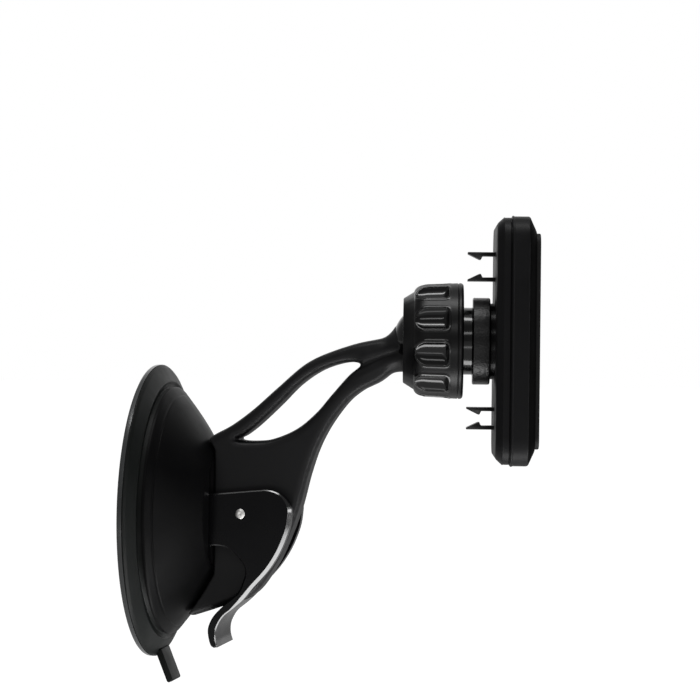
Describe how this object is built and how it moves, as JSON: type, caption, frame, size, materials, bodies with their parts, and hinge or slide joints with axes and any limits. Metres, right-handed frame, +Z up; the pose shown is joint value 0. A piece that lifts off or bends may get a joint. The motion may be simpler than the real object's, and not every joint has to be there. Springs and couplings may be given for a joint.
{
  "type": "suction cup phone holder",
  "caption": "Phone holder: a levered suction cup carries a cranked arm whose ball joint turns and tilts a flat magnetic head with cable hooks.",
  "frame": {"origin": "centre of the glass side of the suction pad, in the plane of its sealing ring", "axes": "+X from the glass towards the phone along the cup's axis, +Z up along the long side of the head, +Y away from the viewer of the picture"},
  "size_m": [0.0913, 0.068, 0.1083],
  "materials": {
    "gel": "tacky gloss",
    "pad": "soft satin",
    "dome": "fine satin",
    "arm": "fine satin",
    "arm_screws": "zinc plated",
    "plunger": "moulded",
    "pivot_pin": "bright rolled rim",
    "spring": "drawn wire",
    "lever": "satin",
    "liner": "matte",
    "clamp_ring": "moulded",
    "clamp_nut": "satin with glossy flutes",
    "boss": "glossy with a stippled flange",
    "boss_screws": "zinc plated",
    "rear_cover": "fine texture",
    "front_cover": "fine texture",
    "yoke": "rolled",
    "magnets": "nickel plated",
    "front_face": "matte",
    "cover_screws": "zinc plated"
  },
  "bodies": {
    "base": {"gel_layer": "gel", "suction_pad": "pad", "dome_cover": "dome", "arm": "arm", "arm_screws": "arm_screws", "return_spring": "spring"},
    "plunger": {"plunger": "plunger", "pivot_pin": "pivot_pin"},
    "lever": {"lever": "lever"},
    "ball_liner": {"ball_liner": "liner"},
    "clamp_ring": {"clamp_ring": "clamp_ring"},
    "head": {"socket_boss": "boss", "boss_screws": "boss_screws", "rear_cover": "rear_cover", "front_cover": "front_cover", "steel_yoke": "yoke", "magnets": "magnets", "front_face": "front_face", "cover_screws": "cover_screws"},
    "clamp_nut": {"clamp_nut": "clamp_nut"}
  },
  "joints": [
    {"name": "plunger_slide", "type": "slide", "parent": "base", "child": "plunger", "axis": [1, 0, 0], "range_m": [-0.0024, 0]},
    {"name": "lever_turn", "type": "hinge", "parent": "plunger", "child": "lever", "pos_m": [0.0222, 0, 0], "axis": [0, -1, 0], "range_deg": [0, 90]},
    {"name": "ball_pan", "type": "hinge", "parent": "base", "child": "ball_liner", "pos_m": [0.0647, 0, 0.0402], "axis": [0, 0, 1], "range_deg": [-21, 4]},
    {"name": "ball_tilt", "type": "hinge", "parent": "ball_liner", "child": "clamp_ring", "pos_m": [0.0647, 0, 0.0402], "axis": [0.1495, -0.9888, 0], "range_deg": [-2, 38]},
    {"name": "head_roll", "type": "hinge", "parent": "clamp_ring", "child": "head", "pos_m": [0.0647, 0, 0.0402], "axis": [0.9888, 0.1495, 0], "continuous": true},
    {"name": "nut_turn", "type": "hinge", "parent": "head", "child": "clamp_nut", "pos_m": [0.0647, 0, 0.0402], "axis": [0.9888, 0.1495, 0], "range_deg": [0, 180]}
  ],
  "couplings": [
    {"joint": "plunger_slide", "follows": "lever_turn", "m_per_rad": -0.00152}
  ]
}
